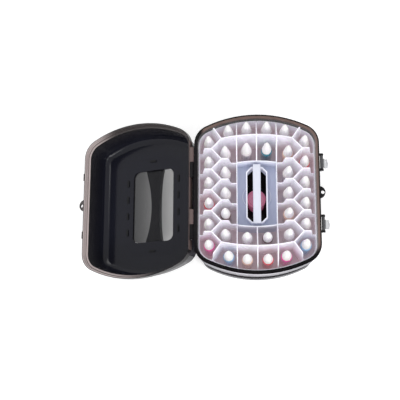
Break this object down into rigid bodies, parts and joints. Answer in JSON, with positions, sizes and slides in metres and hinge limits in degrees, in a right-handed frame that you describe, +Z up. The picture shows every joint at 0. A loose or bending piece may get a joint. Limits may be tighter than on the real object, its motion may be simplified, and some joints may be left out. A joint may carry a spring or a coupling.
{
  "type": "bottle carry case",
  "caption": "Hinged clamshell carry case of smoked plastic with swing latches, an arched grip on its lid and a lift-out honeycomb tray that holds small capped bottles upright.",
  "frame": {"origin": "on the table, at the middle of the base's underside", "axes": "+Z up, +X towards the latches with the lid open on the -X side, +Y to the rear end"},
  "size_m": [0.4216, 0.265, 0.1539],
  "materials": {
    "smoked_plastic": "smoked clear moulding",
    "dark_plastic": "dark moulded grip",
    "steel": "drawn wire pin",
    "clear_plastic": "clear moulding",
    "milky_plastic": "milky translucent moulding",
    "cap_plastic": "smooth white cap",
    "bottle_milky": "milky bottle",
    "bottle_red": "bottle with red contents",
    "bottle_pink": "bottle with pink contents",
    "bottle_blue": "bottle with pale blue contents",
    "bottle_teal": "bottle with teal contents",
    "bottle_dark": "bottle with dark contents",
    "bottle_peach": "bottle with peach contents",
    "jar_plastic": "round jar",
    "jar_lid_plastic": "jar lid"
  },
  "bodies": {
    "base": {"base_shell": "smoked_plastic", "hinge_pin_front": "steel", "hinge_pin_rear": "steel", "jar_cap": "jar_lid_plastic", "jar_cup": "jar_plastic", "latch_pin_front": "steel", "latch_pin_rear": "steel"},
    "lid": {"handle_frame": "dark_plastic", "handle_grip": "dark_plastic", "lid_shell": "smoked_plastic"},
    "latch_front": {"latch_front": "clear_plastic"},
    "latch_rear": {"latch_rear": "clear_plastic"},
    "tray": {"tray_arc_wall_front": "milky_plastic", "tray_arc_wall_rear": "milky_plastic", "tray_corner_fins": "milky_plastic", "tray_handle": "milky_plastic", "tray_honeycomb_left": "milky_plastic", "tray_honeycomb_right": "milky_plastic", "tray_inner_fins_left": "milky_plastic", "tray_inner_fins_right": "milky_plastic", "tray_outer_fins_left": "milky_plastic", "tray_outer_fins_right": "milky_plastic", "tray_row_fins_front": "milky_plastic", "tray_row_fins_rear": "milky_plastic", "tray_shell": "milky_plastic", "tray_well": "milky_plastic"},
    "bottles": {"bottle_caps": "cap_plastic", "bottles_blue": "bottle_blue", "bottles_dark": "bottle_dark", "bottles_milky": "bottle_milky", "bottles_peach": "bottle_peach", "bottles_pink": "bottle_pink", "bottles_red": "bottle_red", "bottles_teal": "bottle_teal"}
  },
  "joints": [
    {"name": "lid_hinge", "type": "hinge", "parent": "base", "child": "lid", "pos_m": [-0.1058, 0, 0.124], "axis": [0, 1, 0], "range_deg": [0, 203.1]},
    {"name": "latch_front_swing", "type": "hinge", "parent": "base", "child": "latch_front", "pos_m": [0.1055, -0.051, 0.119], "axis": [0, -1, 0], "range_deg": [0, 140]},
    {"name": "latch_rear_swing", "type": "hinge", "parent": "base", "child": "latch_rear", "pos_m": [0.1055, 0.051, 0.119], "axis": [0, -1, 0], "range_deg": [0, 140]},
    {"name": "tray_lift", "type": "slide", "parent": "base", "child": "tray", "axis": [0, 0, -1], "range_m": [-0.09, 0]},
    {"name": "bottles_lift", "type": "slide", "parent": "tray", "child": "bottles", "axis": [0, 0, -1], "range_m": [-0.08, 0]}
  ]
}
